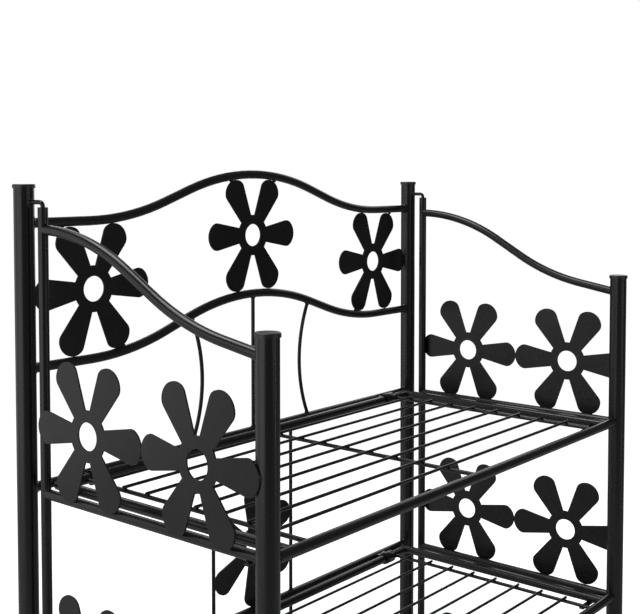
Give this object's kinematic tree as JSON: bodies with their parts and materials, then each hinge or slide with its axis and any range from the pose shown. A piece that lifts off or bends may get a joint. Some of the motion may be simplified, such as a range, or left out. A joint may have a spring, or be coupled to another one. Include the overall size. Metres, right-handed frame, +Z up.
{
  "type": "folding plant stand",
  "caption": "Folding tiered plant stand of black painted steel tube, with wire shelves, a waved back, curved side bars and flower plates.",
  "frame": {"origin": "middle of the footprint, on the floor", "axes": "+Z up, -Y towards the front, +X to the right seen from the front"},
  "size_m": [0.6064, 0.308, 0.7783],
  "materials": {
    "tube_paint": "satin black powder coat",
    "flower_paint": "satin black powder coat on plate",
    "wire_paint": "satin black powder coat on wire and rod",
    "cap_plastic": "matte black moulded plastic",
    "bush_plastic": "matte black moulded plastic"
  },
  "bodies": {
    "back_frame": {"left_rear_post": "tube_paint", "right_rear_post": "tube_paint", "rear_post_caps": "cap_plastic", "rear_feet": "cap_plastic", "top_wave_bar": "tube_paint", "lower_wave_bar": "tube_paint", "left_crest_flower": "flower_paint", "middle_crest_flower": "flower_paint", "right_crest_flower": "flower_paint", "upper_back_rods": "wire_paint", "top_crossbar": "tube_paint", "middle_crossbar": "tube_paint", "bottom_crossbar": "tube_paint", "lower_back_rods": "wire_paint", "middle_back_flower": "flower_paint", "bottom_back_flower": "flower_paint", "shelf_knuckles": "tube_paint", "side_hinge_pins": "wire_paint"},
    "left_side_frame": {"left_front_post": "tube_paint", "left_front_cap": "cap_plastic", "left_front_foot": "cap_plastic", "left_hinge_tube": "tube_paint", "left_hinge_bushes": "bush_plastic", "left_curved_bar": "tube_paint", "left_top_rail": "tube_paint", "left_middle_rail": "tube_paint", "left_bottom_rail": "tube_paint", "left_top_flowers": "flower_paint", "left_middle_flowers": "flower_paint", "left_bottom_flowers": "flower_paint", "left_support_tabs": "tube_paint"},
    "right_side_frame": {"right_front_post": "tube_paint", "right_front_cap": "cap_plastic", "right_front_foot": "cap_plastic", "right_hinge_tube": "tube_paint", "right_hinge_bushes": "bush_plastic", "right_curved_bar": "tube_paint", "right_top_rail": "tube_paint", "right_middle_rail": "tube_paint", "right_bottom_rail": "tube_paint", "right_top_flowers": "flower_paint", "right_middle_flowers": "flower_paint", "right_bottom_flowers": "flower_paint", "right_support_tabs": "tube_paint"},
    "top_shelf": {"top_shelf_front_tube": "tube_paint", "top_shelf_rear_tube": "tube_paint", "top_shelf_side_tubes": "tube_paint", "top_shelf_deck": "wire_paint", "top_shelf_pins": "wire_paint"},
    "middle_shelf": {"middle_shelf_front_tube": "tube_paint", "middle_shelf_rear_tube": "tube_paint", "middle_shelf_side_tubes": "tube_paint", "middle_shelf_deck": "wire_paint", "middle_shelf_pins": "wire_paint"},
    "bottom_shelf": {"bottom_shelf_front_tube": "tube_paint", "bottom_shelf_rear_tube": "tube_paint", "bottom_shelf_side_tubes": "tube_paint", "bottom_shelf_deck": "wire_paint", "bottom_shelf_pins": "wire_paint"}
  },
  "joints": [
    {"name": "left_side_swing", "type": "hinge", "parent": "back_frame", "child": "left_side_frame", "pos_m": [-0.2905, 0.1197, 0.4], "axis": [0, 0, -1], "range_deg": [0, 120]},
    {"name": "right_side_swing", "type": "hinge", "parent": "back_frame", "child": "right_side_frame", "pos_m": [0.2905, 0.1197, 0.4], "axis": [0, 0, 1], "range_deg": [0, 120]},
    {"name": "top_shelf_fold", "type": "hinge", "parent": "back_frame", "child": "top_shelf", "pos_m": [0, 0.128, 0.49545], "axis": [-1, 0, 0], "range_deg": [0, 86]},
    {"name": "middle_shelf_fold", "type": "hinge", "parent": "back_frame", "child": "middle_shelf", "pos_m": [0, 0.128, 0.29545], "axis": [-1, 0, 0], "range_deg": [0, 86]},
    {"name": "bottom_shelf_fold", "type": "hinge", "parent": "back_frame", "child": "bottom_shelf", "pos_m": [0, 0.128, 0.09545], "axis": [-1, 0, 0], "range_deg": [0, 86]}
  ],
  "couplings": [
    {"joint": "middle_shelf_fold", "follows": "top_shelf_fold", "ratio": 1},
    {"joint": "bottom_shelf_fold", "follows": "top_shelf_fold", "ratio": 1}
  ]
}
